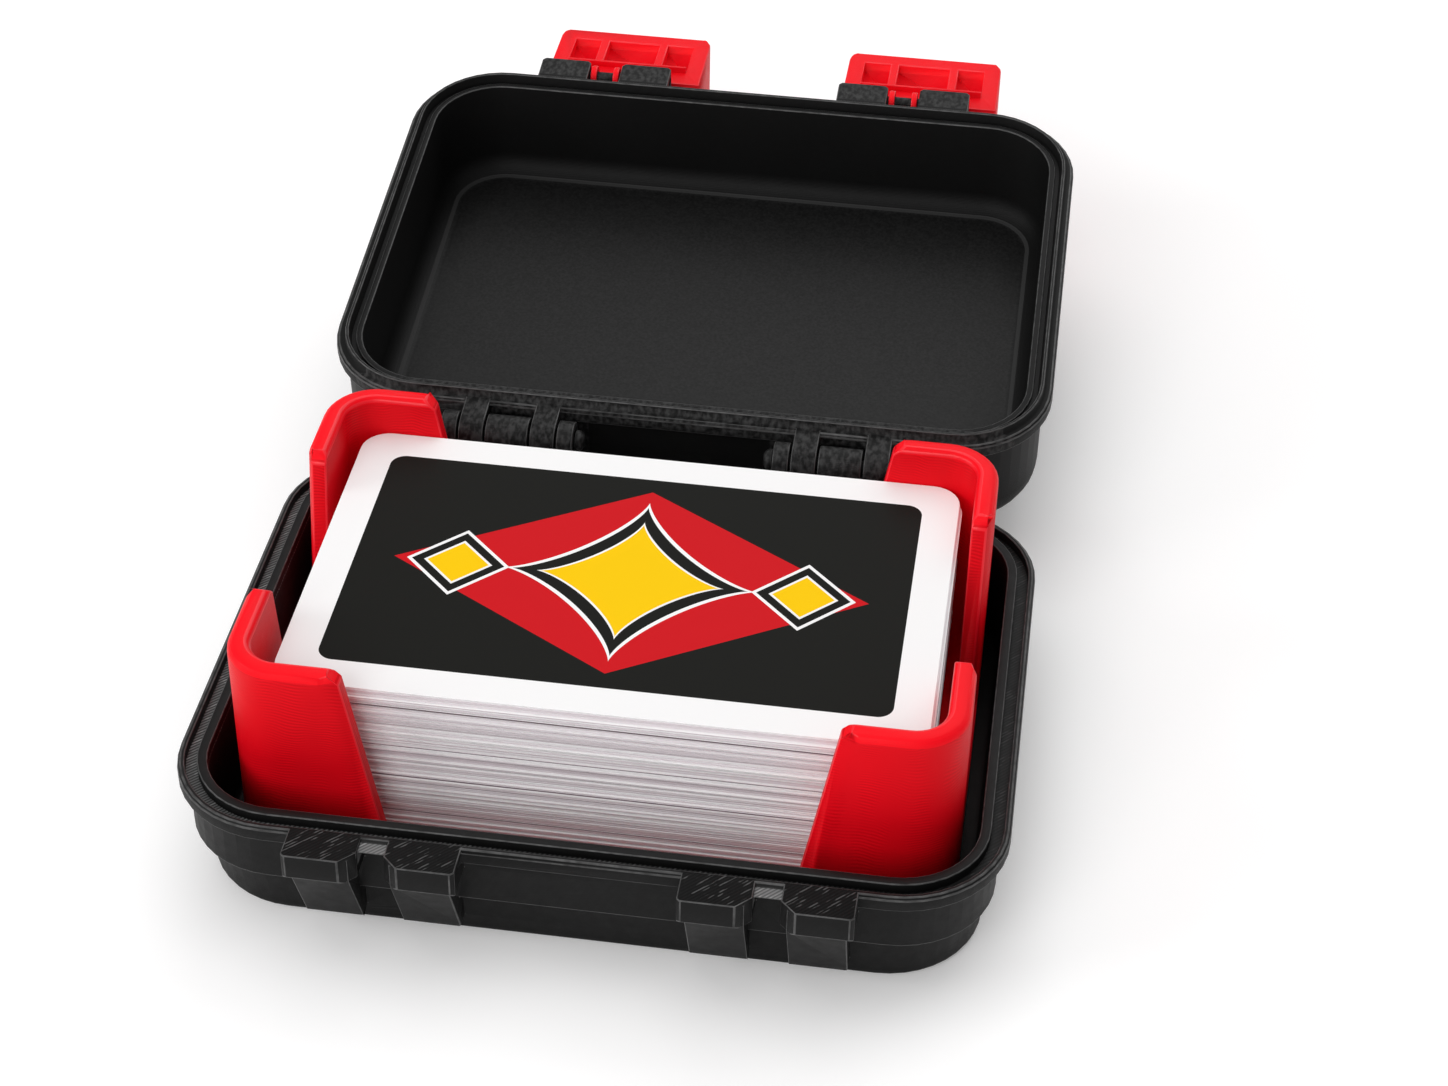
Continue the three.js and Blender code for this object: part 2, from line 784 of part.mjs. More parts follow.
function makeBox() {
  const box = new THREE.Group();
  box.add(makeBase(), makeHolder(), ...makeDeck());
  for (const [word, side] of sides) box.add(makeHingePin("hinge_pin_" + word, side));

  const lid = new THREE.Group();
  lid.position.set(0, hingeY, hingeZ);
  lid.rotation.x = -lidOpenAngle;
  const closedLid = new THREE.Group();
  closedLid.position.set(0, -hingeY, -hingeZ);
  closedLid.add(makeLid());
  lid.add(closedLid);
  for (const [word, side] of sides) {
    const latch = new THREE.Group();
    latch.position.set((side * ribPairSpacing) / 2, latchPinY, latchPinZ);
    latch.rotation.x = -latchOpenAngle;
    latch.add(makeLatch("latch_" + word));
    const pin = makeLatchPin("latch_pin_" + word);
    pin.position.copy(latch.position);
    closedLid.add(latch, pin);
  }
  box.add(lid);
  return box;
}

export default makeBox();
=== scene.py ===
import json
import math
import random

import bmesh
import bpy
from mathutils import Matrix, Vector


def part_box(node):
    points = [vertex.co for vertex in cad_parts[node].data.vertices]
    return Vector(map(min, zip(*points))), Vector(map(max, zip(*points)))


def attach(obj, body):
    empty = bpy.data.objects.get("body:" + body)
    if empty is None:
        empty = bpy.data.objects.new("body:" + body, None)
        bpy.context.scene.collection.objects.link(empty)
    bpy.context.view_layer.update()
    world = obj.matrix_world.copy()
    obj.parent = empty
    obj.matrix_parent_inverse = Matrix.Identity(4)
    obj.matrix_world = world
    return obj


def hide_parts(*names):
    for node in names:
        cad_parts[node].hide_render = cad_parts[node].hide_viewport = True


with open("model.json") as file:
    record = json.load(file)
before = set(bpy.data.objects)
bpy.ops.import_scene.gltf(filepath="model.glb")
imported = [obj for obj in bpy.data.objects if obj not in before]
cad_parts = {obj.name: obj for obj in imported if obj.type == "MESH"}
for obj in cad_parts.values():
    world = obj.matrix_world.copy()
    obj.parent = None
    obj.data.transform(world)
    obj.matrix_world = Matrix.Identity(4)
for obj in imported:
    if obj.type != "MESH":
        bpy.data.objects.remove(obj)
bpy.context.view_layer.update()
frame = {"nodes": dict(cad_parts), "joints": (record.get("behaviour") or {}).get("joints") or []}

MM = 0.001
TAU = 2 * math.pi


def middle_mm(node, axis):
    """The middle of a CAD node's box on one axis."""
    low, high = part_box(node)
    return (low[axis] + high[axis]) / 2 / MM


# Where things are, from the frame

TOP_CARD_LOW, TOP_CARD_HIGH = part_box("top_card")
JOINTS = {joint["name"]: joint for joint in frame["joints"]}
LID_OPEN = -math.radians(JOINTS["lid_hinge"]["range_deg"][0])
CASE_HALF_WIDTH_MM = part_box("base_shell")[1][0] / MM
HOLDER_FLOOR_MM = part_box("card_packet_1")[0][2] / MM
HOLDER_TOP_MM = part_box("card_holder")[1][2] / MM
HINGE_MIDDLE_MM = abs(middle_mm("hinge_pin_left", 0))
HINGE_BACK_MM = middle_mm("hinge_pin_left", 1)
HINGE_HEIGHT_MM = middle_mm("hinge_pin_left", 2)

# Sizes of the case that no box in the frame gives

BASE_RIM_MM = 18.8
CASE_HALF_DEPTH_MM = 41
CASE_CORNER_MM = 14.7
ROOF_MM = 2.2
RIB_PAIR_MIDDLE_MM = 25.5
LID_FAR_MM = HINGE_BACK_MM - (HINGE_BACK_MM + CASE_HALF_DEPTH_MM) * math.cos(LID_OPEN)

# Camera, in millimetres and degrees

CAMERA_PLACE_MM = (52.55, -303.42, 280.92)
CAMERA_AZIMUTH = 7.322
CAMERA_ELEVATION = 38.172
CAMERA_ROLL = 1.199
LENS_MM = 72.79
SENSOR_MM = 36
CAMERA_CLIP_MM = 10


# Shader maths

class Wire:
    """A shader socket that takes part in sums. Each operator adds one Math node."""

    def __init__(self, graph, socket):
        self.graph = graph
        self.socket = socket

    def math(self, operation, *others):
        return self.graph.node("Math", {"operation": operation}, dict(enumerate((self, *others))))

    def __add__(self, other):
        return self.math("ADD", other)

    def __radd__(self, other):
        return self.math("ADD", other)

    def __sub__(self, other):
        return self.math("SUBTRACT", other)

    def __rsub__(self, other):
        return self.graph.node("Math", {"operation": "SUBTRACT"}, {0: other, 1: self})

    def __mul__(self, other):
        return self.math("MULTIPLY", other)

    def __rmul__(self, other):
        return self.math("MULTIPLY", other)

    def __truediv__(self, other):
        return self.math("DIVIDE", other)

    def __abs__(self):
        return self.math("ABSOLUTE")

    def __pow__(self, power):
        return self.math("POWER", power)

    def __gt__(self, other):
        return self.math("GREATER_THAN", other)

    def __lt__(self, other):
        return self.math("LESS_THAN", other)

    def sine(self):
        return self.math("SINE")

    def most(self, other):
        return self.math("MAXIMUM", other)

    def ramp(self, low, high):
        """0 below low, 1 above high, and a straight climb between them."""
        span = {"From Min": low, "From Max": high, "To Min": 0, "To Max": 1, "Value": self}
        return self.graph.node("MapRange", {"clamp": True}, span)


class Graph:
    """A node tree, and the one way in which its nodes are made."""

    def __init__(self, tree):
        self.tree = tree

    def feed(self, socket, value):
        """Links a wire to a socket, or sets the socket to a plain value."""
        if isinstance(value, Wire):
            self.tree.links.new(value.socket, socket)
        else:
            socket.default_value = value

    def node(self, kind, settings=None, inputs=None, output=0):
        """Adds a node with its settings and the values of its sockets, and returns one output's wire."""
        made = self.tree.nodes.new("ShaderNode" + kind)
        for key, value in (settings or {}).items():
            setattr(made, key, value)
        for key, value in (inputs or {}).items():
            self.feed(made.inputs[key], value)
        return Wire(self, made.outputs[output])


class Paint(Graph):
    """A material, with the patterns that vary its surface."""

    def __init__(self, name, **surface):
        self.material = bpy.data.materials.new(name)
        self.material.use_nodes = True
        super().__init__(self.material.node_tree)
        self.surface = self.tree.nodes["Principled BSDF"]
        self.set(**surface)

    def set(self, **surface):
        """Feeds the surface's sockets, each named in small letters."""
        for key, value in surface.items():
            self.feed(self.surface.inputs[key.replace("_", " ").title().replace("Ior", "IOR")], value)

    def place(self, turn=(0, 0, 0), shift=(0, 0, 0)):
        """Object coordinates in millimetres, turned and then shifted."""
        spot = self.node("TexCoord", output="Object")
        mapping = {"Vector": spot, "Rotation": turn, "Location": shift, "Scale": (1 / MM, 1 / MM, 1 / MM)}
        return self.node("Mapping", None, mapping)

    def stretch(self, place, scale, turn=(0, 0, 0)):
        """A place scaled on each axis and then turned, for patterns that run one way."""
        return self.node("Mapping", None, {"Vector": place, "Scale": scale, "Rotation": turn})

    def split(self, place):
        """The x, y and z of a place."""
        made = self.node("SeparateXYZ", None, {0: place}).socket.node
        return [Wire(self, socket) for socket in made.outputs]

    def noise(self, place, per_mm=1, detail=2):
        return self.node("TexNoise", None, {"Vector": place, "Scale": per_mm, "Detail": detail}, output="Fac")

    def blend(self, factor, low, high):
        """A colour that runs from low to high."""
        colours = {"Factor": factor, "A": low, "B": high}
        return self.node("Mix", {"data_type": "RGBA"}, colours, output="Result")

    def emboss(self, height_mm, strength):
        """Raises the surface by a height, in shading only."""
        self.set(normal=self.node("Bump", None, {"Height": height_mm, "Distance": MM, "Strength": strength}))


# Colours, as a screen shows them from 0 to 255

def solid_colour(red, green, blue):
    """A screen colour as the linear colour that a shader takes."""
    def linear(v):
        v /= 255
        return v / 12.92 if v <= 0.04045 else ((v + 0.055) / 1.055) ** 2.4
    return (linear(red), linear(green), linear(blue), 1)


def grey(level):
    return solid_colour(level, level, level)


PURE_WHITE = (1, 1, 1, 1)
BLACK_DEEP = grey(8)
BLACK_PALE = grey(15)
# A pale mottled grain that is partly painted sheen, on the hinge knuckles and the lid's ribs.
BLACK_GRAIN_SHEEN = grey(52)
# Painted light: the lid's roof panel is painted paler than the black walls, and its outline is a painted
# highlight.
ROOF_PANEL_PAINTED_LIGHT = grey(27)
ROOF_PAINTED_HIGHLIGHT_LINE = grey(44)
# Painted highlight on the eased black edges, from dark to pale.
BLACK_EDGE_HIGHLIGHT_DARK = grey(38)
BLACK_EDGE_HIGHLIGHT_PALE = grey(78)
RED_DEEP = solid_colour(203, 0, 12)
RED_WALL = solid_colour(244, 12, 30)
RED_PALE = solid_colour(246, 10, 27)
RED_EDGE = solid_colour(245, 22, 38)
PAPER = solid_colour(250, 249, 249)
CUT_GREY = solid_colour(212, 199, 205)
CUT_PALE = solid_colour(244, 237, 241)
# Painted highlight and painted shade for the lines along the card edges.
CUT_HIGHLIGHT_WHITE = solid_colour(254, 252, 253)
CUT_GAP_SHADE = solid_colour(112, 96, 104)
BACK_WHITE = solid_colour(243, 242, 242)
BACK_BLACK = solid_colour(28, 28, 26)
BACK_RED = solid_colour(203, 24, 32)
BACK_YELLOW = solid_colour(247, 199, 8)


# Masks and printed patterns

LAYER_MM = 0.2
LAYER_DEPTH_MM = 0.012
LAYER_STRENGTH = 0.6
TRACK_MM = 0.46


def within(value, span, level=0):
    """1 where a value is inside a span about a level, 0 elsewhere."""
    low, high = span
    return (value > level + low) * (value < level + high)


def rounded(u, v, half_u, half_v, radius):
    """1 inside a rectangle with round corners, 0 outside it."""
    du = (abs(u) - (half_u - radius)).most(0)
    dv = (abs(v) - (half_v - radius)).most(0)
    return (du * du + dv * dv) < radius * radius


def layer_lines(paint, place):
    """Printed layers: fine ridges over the height that wander a little, with a fine grain."""
    _, _, z = paint.split(place)
    wander = paint.noise(place, per_mm=0.35, detail=3) * 0.5
    ridges = ((z + wander * LAYER_MM) * (TAU / LAYER_MM)).sine()
    grain = paint.noise(place, per_mm=6)
    return ridges * LAYER_DEPTH_MM + grain * (2 * LAYER_DEPTH_MM)


def top_tracks(paint, place, dark, light, stroke):
    """The diagonal tracks of a printed top layer in three greys, the last for short strokes painted as
    glints.
    """
    across = paint.stretch(place, (1, 1, 1), (0, 0, math.pi / 4))
    u, _, _ = paint.split(across)
    tracks = (u * (TAU / TRACK_MM)).sine() * 0.5 + 0.5
    # Painted highlights: short glint strokes on the ridges of the tracks.
    painted_glints = paint.noise(paint.stretch(across, (1.9, 0.42, 1))).ramp(0.56, 0.62) * tracks.ramp(0.5, 0.9)
    return paint.blend(painted_glints, paint.blend(tracks, grey(dark), grey(light)), grey(stroke))


def uneven(paint, place, low, span):
    """A roughness that varies softly over a surface."""
    return low + paint.noise(place, per_mm=0.6, detail=3) * span


# The black plastic, with its masks as spans about a level in millimetres

BLACK_ROUGHNESS = (0.44, 0.18)
RIB_HEADS_ROUGHER = 0.3
LID_ROUGHNESS = 0.52
ROOF_PANEL_SMOOTHER = 0.12
BLACK_SHINE = 0.19
LID_SHINE = 0.15
KNUCKLES_DEEP_MM = (-4.5, 7)
KNUCKLES_HALF_WIDTH_MM = 10.3
KNUCKLES_LOW_MM = BASE_RIM_MM - 3
LID_FLANGE_LOW_MM = HINGE_HEIGHT_MM + 0.5
LID_RIBS_FROM_MM = LID_FAR_MM + 0.3
GROOVE_FLOOR_MM = (-1.6, -1.4)
GROOVE_INSET_MM = 0.8
# Where the groove's painted light fades from the paler left to the darker right.
GROOVE_LIGHT_FADE_MM = (-48, 44)
RIB_HEAD_TOP_MM = (-0.1, 0.1)
RIB_HEAD_ACROSS_MM = (1.8, 11.4)
RIB_HEADS_REACH_IN_MM = 1
RAMP_HIGH_MM = (-2.6, -0.45)
RAMP_DEEP_MM = (-2, 0)
RAMP_HALF_WIDTH_MM = 2.6
ROOF_PANEL_MM = (-0.12, 0.2)
ROOF_HIGHLIGHT_LINE_MM = (-0.34, -0.12)


def black_paint(name, turn=(0, 0, 0), shine=BLACK_SHINE):
    """Black plastic printed in layers: its paint, its place, and its colour, with a pale mottled grain on the
    hinge knuckles and the lid's ribs that is also painted sheen.
    """
    paint = Paint(name, specular_ior_level=shine)
    place = paint.place(turn=turn)
    paint.emboss(layer_lines(paint, place), LAYER_STRENGTH)
    plain = paint.blend(paint.noise(place, per_mm=0.08, detail=4), BLACK_DEEP, BLACK_PALE)
    at_rest = paint.place()
    x, y, z = paint.split(at_rest)
    # The hinge knuckles and the lid's ribs get a pale mottled grain, partly painted sheen.
    at_knuckles = (abs(abs(x) - HINGE_MIDDLE_MM) < KNUCKLES_HALF_WIDTH_MM) * (z > KNUCKLES_LOW_MM)
    grain_and_sheen = within(y, KNUCKLES_DEEP_MM, HINGE_BACK_MM) * at_knuckles.most(z > LID_FLANGE_LOW_MM)
    grain_and_sheen = grain_and_sheen.most(y > LID_RIBS_FROM_MM)
    grain = paint.noise(paint.stretch(at_rest, (1.5, 0.9, 0.9)), detail=3).ramp(0.4, 0.64)
    return paint, place, paint.blend(grain_and_sheen * grain, plain, BLACK_GRAIN_SHEEN)


def base_plastic():
    """The base: the tracks of its top layers show in the rim's groove, on the rib heads and on the ramps,
    with painted light: the groove paler on the left and darker on the right, and the ramps painted pale grey
    as painted sheen.
    """
    paint, place, colour = black_paint("black_base_plastic")
    x, y, z = paint.split(place)
    from_pair = abs(abs(x) - RIB_PAIR_MIDDLE_MM)
    half_width, half_depth, corner = (
        size - GROOVE_INSET_MM for size in (CASE_HALF_WIDTH_MM, CASE_HALF_DEPTH_MM, CASE_CORNER_MM))
    in_groove = within(z, GROOVE_FLOOR_MM, BASE_RIM_MM) * rounded(x, y, half_width, half_depth, corner)
    # Painted light: the groove's tracks are painted paler on the left and darker on the right.
    lit_left_tracks = top_tracks(paint, place, 40, 110, 150)
    shaded_right_tracks = top_tracks(paint, place, 10, 30, 56)
    colour = paint.blend(in_groove, colour, paint.blend(x.ramp(*GROOVE_LIGHT_FADE_MM), lit_left_tracks, shaded_right_tracks))
    on_heads = within(z, RIB_HEAD_TOP_MM, BASE_RIM_MM) * (y < RIB_HEADS_REACH_IN_MM - CASE_HALF_DEPTH_MM)
    on_heads = on_heads * within(from_pair, RIB_HEAD_ACROSS_MM)
    colour = paint.blend(on_heads, colour, top_tracks(paint, place, 3, 16, 80))
    # Painted sheen: the ramps are painted pale grey, far paler than the black plastic.
    sheen_on_ramps = within(y, RAMP_DEEP_MM, -CASE_HALF_DEPTH_MM) * (from_pair < RAMP_HALF_WIDTH_MM)
    sheen_on_ramps = sheen_on_ramps * within(z, RAMP_HIGH_MM, BASE_RIM_MM)
    colour = paint.blend(sheen_on_ramps, colour, top_tracks(paint, place, 78, 120, 150))
    roughness = uneven(paint, place, *BLACK_ROUGHNESS) + on_heads * RIB_HEADS_ROUGHER
    paint.set(base_color=colour, roughness=roughness)
    return paint.material


def lid_plastic():
    """The lid, turned as it lies open. The flat inside of its roof is painted paler as painted light, with a
    painted highlight line round it.
    """
    paint, place, colour = black_paint("black_lid_plastic", (LID_OPEN, 0, 0), LID_SHINE)
    _, _, z = paint.split(place)
    shut = Matrix.Rotation(LID_OPEN, 3, "X")
    roof_top = max((shut @ corner.co).z for corner in frame["nodes"]["lid_shell"].data.vertices) / MM
    # Painted light: the panel is painted paler than the walls, with a painted highlight along its outline.
    panel = within(z, ROOF_PANEL_MM, roof_top - ROOF_MM)
    painted_highlight_line = within(z, ROOF_HIGHLIGHT_LINE_MM, roof_top - ROOF_MM)
    speckle = paint.noise(place, per_mm=2.4, detail=3).ramp(0.34, 0.7)
    colour = paint.blend(painted_highlight_line, paint.blend(panel * speckle, colour, ROOF_PANEL_PAINTED_LIGHT), ROOF_PAINTED_HIGHLIGHT_LINE)
    paint.set(base_color=colour, roughness=LID_ROUGHNESS - panel * ROOF_PANEL_SMOOTHER)
    return paint.material


def rod_plastic():
    """The pins of the hinges and latches."""
    paint, place, colour = black_paint("black_rod_plastic")
    paint.set(base_color=colour, roughness=uneven(paint, place, *BLACK_ROUGHNESS))
    return paint.material


def black_edge():
    """The eased edges of the black pieces, painted paler as a painted highlight, unevenly along the edges."""
    paint = Paint("black_edge_painted_highlight", roughness=0.38, specular_ior_level=0.36)
    # Painted highlight: the edges are painted paler, in uneven patches.
    highlight_patches = paint.noise(paint.place(), per_mm=0.7, detail=3).ramp(0.3, 0.7)
    paint.set(base_color=paint.blend(highlight_patches, BLACK_EDGE_HIGHLIGHT_DARK, BLACK_EDGE_HIGHLIGHT_PALE))
    return paint.material


# The red plastic

RED_LINE_MM = 0.5
RED_SWIM_MM = 6
RED_ROUGHNESS = (0.34, 0.14)
RED_SHINE = 0.1
HOLDER_LIT_TOP_MM = 1
HOLDER_SHADE = 0.35
HOLDER_LINES = 0.3
HOLDER_CLOUDS = 0.3


def red_paint(name, turn=(0, 0, 0)):
    """Red plastic printed in layers: its paint and its place."""
    paint = Paint(name, specular_ior_level=RED_SHINE)
    place = paint.place(turn=turn)
    paint.set(roughness=uneven(paint, place, *RED_ROUGHNESS))
    paint.emboss(layer_lines(paint, place), LAYER_STRENGTH)
    return paint, place


def holder_plastic():
    """The holder: fine lines on its walls, which swim like wood grain, and a top painted paler as painted
    light from above.
    """
    paint, place = red_paint("red_holder_plastic")
    _, _, z = paint.split(place)
    swim = paint.noise(paint.stretch(place, (0.09, 0.09, 0.05))) * RED_SWIM_MM
    lines = ((z + swim) * (TAU / RED_LINE_MM)).sine()
    shown = paint.noise(paint.stretch(place, (0.3, 0.3, 0.12)), detail=3).ramp(0.4, 0.6)
    clouds = paint.noise(place, per_mm=0.1, detail=4)
    lines = lines * (shown * (z > HOLDER_FLOOR_MM))
    shade = lines * HOLDER_LINES + clouds * HOLDER_CLOUDS + HOLDER_SHADE
    # Painted light: the top of the holder is painted paler, where light falls from above.
    lit_top = z > HOLDER_TOP_MM - HOLDER_LIT_TOP_MM
    paint.set(base_color=paint.blend(lit_top, paint.blend(shade, RED_DEEP, RED_WALL), RED_PALE))
    return paint.material


def latch_plastic():
    """The latches: one pale red, with layers that run along the latch."""
    paint, _ = red_paint("red_latch_plastic", (math.pi / 2, 0, 0))
    paint.set(base_color=RED_PALE)
    return paint.material


def red_edge():
    """The eased edges of the red pieces."""
    return Paint("red_edge_plastic", roughness=0.33, specular_ior_level=0.35, base_color=RED_EDGE).material


# The cards' paper and print

BACK_PANEL_MM = (38.4, 22.9)
BACK_PANEL_CORNER_MM = 2.2
BACK_LOZENGE_MM = (33, 20)
BACK_STAR_BEND = 0.75
BACK_STARS_MM = ((17.5, BACK_WHITE), (16.4, BACK_BLACK), (13, BACK_WHITE), (12.4, BACK_YELLOW))
BACK_SIDE_MM = 24
BACK_SIDE_LOZENGES_MM = ((7.2, BACK_WHITE), (6.5, BACK_BLACK), (4.8, BACK_WHITE), (4.3, BACK_YELLOW))


def card_edges():
    """The cut edges of the cards: paper grey that changes with the height, with white lines of painted
    highlight and dark lines of painted shade between cards.
    """
    paint = Paint("card_edges", roughness=0.6, specular_ior_level=0.2)
    place = paint.place()

    def by_height(per_mm, start, detail=1):
        """A noise of the height alone, another one for each start."""
        level = paint.stretch(place, (0, 0, per_mm))
        moved = paint.node("VectorMath", {"operation": "ADD"}, {0: level, 1: (start, start, 0)})
        return paint.noise(moved, detail=detail)

    colour = paint.blend(by_height(1.1, 3, detail=2).ramp(0.35, 0.65), CUT_GREY, CUT_PALE)
    # Painted highlights on card edges, and painted shade in the gaps between cards.
    colour = paint.blend(by_height(2.3, 17).ramp(0.52, 0.57), colour, CUT_HIGHLIGHT_WHITE)
    colour = paint.blend(by_height(1.9, 41).ramp(0.58, 0.64), colour, CUT_GAP_SHADE)
    paint.set(base_color=colour)
    return paint.material


def card_stock():
    """The plain faces of the cards."""
    return Paint("card_stock_white", roughness=0.45, specular_ior_level=0.3, base_color=PAPER).material


def card_back():
    """The printed back: a white border, a black panel, and a plain geometric figure in red and yellow."""
    paint = Paint("card_back", roughness=0.4, specular_ior_level=0.03)
    middle = (Vector(TOP_CARD_LOW) + Vector(TOP_CARD_HIGH)) / (2 * MM)
    u, v, _ = paint.split(paint.place(shift=tuple(-middle)))

    def lozenge(half_u, half_v, shift_u=0):
        return (abs(u - shift_u) / half_u + abs(v) / half_v) < 1

    colour = paint.blend(rounded(u, v, *BACK_PANEL_MM, BACK_PANEL_CORNER_MM), BACK_WHITE, BACK_BLACK)
    colour = paint.blend(lozenge(*BACK_LOZENGE_MM), colour, BACK_RED)
    for half, ink in BACK_STARS_MM:
        star = ((abs(u) / half) ** BACK_STAR_BEND + (abs(v) / half) ** BACK_STAR_BEND) < 1
        colour = paint.blend(star, colour, ink)
    for shift in (-BACK_SIDE_MM, BACK_SIDE_MM):
        for half, ink in BACK_SIDE_LOZENGES_MM:
            colour = paint.blend(lozenge(half, half, shift), colour, ink)
    paint.set(base_color=colour)
    return paint.material


# Shaping

MERGE_MM = 0.002
FLAT = math.radians(1)
SHARP = math.radians(32)
SMOOTH = math.radians(34)
ROOM_SHARE = 0.3
RUNS_ON = -0.9


def only(piece):
    """Selects one piece and makes it the active one."""
    bpy.ops.object.select_all(action="DESELECT")
    piece.select_set(True)
    bpy.context.view_layer.objects.active = piece


def modify(piece, kind, **settings):
    """Adds a modifier and applies it."""
    only(piece)
    modifier = piece.modifiers.new(kind.lower(), kind)
    for key, value in settings.items():
        setattr(modifier, key, value)
    bpy.ops.object.modifier_apply(modifier=modifier.name)


def weigh_edges(piece, width):
    """Gives each outward corner edge a bevel weight, less than 1 where its neighbours are short."""
    mesh = bmesh.new()
    mesh.from_mesh(piece.data)
    weight = mesh.edges.layers.float.new("bevel_weight_edge")
    sharp = {e for e in mesh.edges if len(e.link_faces) == 2 and e.calc_face_angle_signed() > SHARP}
    for edge in sharp:
        room = width
        for corner in edge.verts:
            along = (edge.other_vert(corner).co - corner.co).normalized()
            for near in corner.link_edges:
                onward = (near.other_vert(corner).co - corner.co).normalized()
                runs_on = near in sharp and along.dot(onward) < RUNS_ON
                if near is not edge and not runs_on:
                    room = min(room, ROOM_SHARE * near.calc_length())
        edge[weight] = room / width
    mesh.to_mesh(piece.data)
    mesh.free()


def dressed(node, name, paints, edge_mm):
    """A copy of a CAD node with its facets joined and its edges eased, which stands for the node."""
    piece = bpy.data.objects.new(name, frame["nodes"][node].data.copy())
    bpy.context.scene.collection.objects.link(piece)
    only(piece)
    bpy.ops.object.mode_set(mode="EDIT")
    bpy.ops.mesh.select_all(action="SELECT")
    bpy.ops.mesh.remove_doubles(threshold=MERGE_MM * MM)
    bpy.ops.mesh.dissolve_limited(angle_limit=FLAT)
    bpy.ops.mesh.quads_convert_to_tris(quad_method="BEAUTY", ngon_method="BEAUTY")
    bpy.ops.object.mode_set(mode="OBJECT")
    piece.data.materials.clear()
    for paint in paints:
        piece.data.materials.append(paint)
    weigh_edges(piece, edge_mm * MM)
    modify(piece, "BEVEL", width=edge_mm * MM, segments=2, limit_method="WEIGHT", use_clamp_overlap=False,
           material=1)
    only(piece)
    bpy.ops.object.shade_smooth_by_angle(angle=SMOOTH)
    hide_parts(node)
    return piece


def keep(piece, body):
    """Puts a finished piece on its body."""
    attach(piece, body)


# The case, its pins, the latches and the holder

CASE_EDGE_MM = 0.16
HOLDER_EDGE_MM = 0.25
LATCH_EDGE_MM = 0.2
ROD_EDGE_MM = 0.1

edge_black_highlight = black_edge()
edge_red = red_edge()
base_paints = (base_plastic(), edge_black_highlight)
lid_paints = (lid_plastic(), edge_black_highlight)
rod_paints = (rod_plastic(), edge_black_highlight)
holder_paints = (holder_plastic(), edge_red)
latch_paints = (latch_plastic(), edge_red)

keep(dressed("base_shell", "base_case", base_paints, CASE_EDGE_MM), "base")
keep(dressed("lid_shell", "lid_case", lid_paints, CASE_EDGE_MM), "lid")
keep(dressed("card_holder", "corner_post_holder", holder_paints, HOLDER_EDGE_MM), "holder")
for side in ("left", "right"):
    latch = dressed("latch_" + side, "flip_latch_" + side, latch_paints, LATCH_EDGE_MM)
    keep(latch, "latch_" + side)
    for kind, body in (("hinge", "base"), ("latch", "lid")):
        rod = dressed(kind + "_pin_" + side, kind + "_rod_" + side, rod_paints, ROD_EDGE_MM)
        keep(rod, body)


# The deck

CARD_MM = 0.3
CARD_GAP_MM = 0.03
CARD_EDGE_MM = 0.04
CARD_CORNER_MM = 4
CARD_CORNER_STEPS = 7
CARD_EDGE_ANGLE = math.radians(60)
CARD_FACE_UP = 0.9
CARDS_IN_PACKET = 10
PACKETS = 8
DECK_SEED = 11
PROUD_SHARE = 0.26
PROUD_MM = (0.28, 0.44)
SQUARED_MM = (0, 0.1)
SIDEWAYS_MM = 0.16
TURNED_DEGREES = 0.07


def card_blank(name):
    """One card, at its size, about its own middle, with round corners and eased edges."""
    thickness = (CARD_MM - CARD_GAP_MM) * MM
    bpy.ops.object.select_all(action="DESELECT")
    bpy.ops.mesh.primitive_cube_add(size=1)
    piece = bpy.context.active_object
    piece.name = name
    piece.scale = (TOP_CARD_HIGH[0] - TOP_CARD_LOW[0], TOP_CARD_HIGH[1] - TOP_CARD_LOW[1], thickness)
    bpy.ops.object.transform_apply(location=True, rotation=True, scale=True)
    bpy.ops.object.mode_set(mode="EDIT")
    bpy.ops.mesh.select_mode(type="EDGE")
    bpy.ops.mesh.select_all(action="DESELECT")
    bpy.ops.object.mode_set(mode="OBJECT")
    for edge in piece.data.edges:
        low, high = (piece.data.vertices[corner].co.z for corner in edge.vertices)
        edge.select = abs(high - low) > thickness / 2
    bpy.ops.object.mode_set(mode="EDIT")
    bpy.ops.mesh.bevel(offset=CARD_CORNER_MM * MM, segments=CARD_CORNER_STEPS, profile=0.5, affect="EDGES")
    bpy.ops.object.mode_set(mode="OBJECT")
    modify(piece, "BEVEL", width=CARD_EDGE_MM * MM, segments=1, limit_method="ANGLE",
           angle_limit=CARD_EDGE_ANGLE)
    for face in piece.data.polygons:
        face.material_index = 1 if abs(face.normal.z) > CARD_FACE_UP else 0
    return piece


def copy_of(piece, name, turn, shift):
    """A copy with a mesh of its own, turned about the upright axis and shifted."""
    made = bpy.data.objects.new(name, piece.data.copy())
    bpy.context.scene.collection.objects.link(made)
    made.data.transform(Matrix.Translation(shift) @ Matrix.Rotation(turn, 4, "Z"))
    return made


def joined(pieces, name):
    """Several pieces as one."""
    bpy.ops.object.select_all(action="DESELECT")
    for piece in pieces:
        piece.select_set(True)
    bpy.context.view_layer.objects.active = pieces[0]
    bpy.ops.object.join()
    pieces[0].name = name
    return pieces[0]


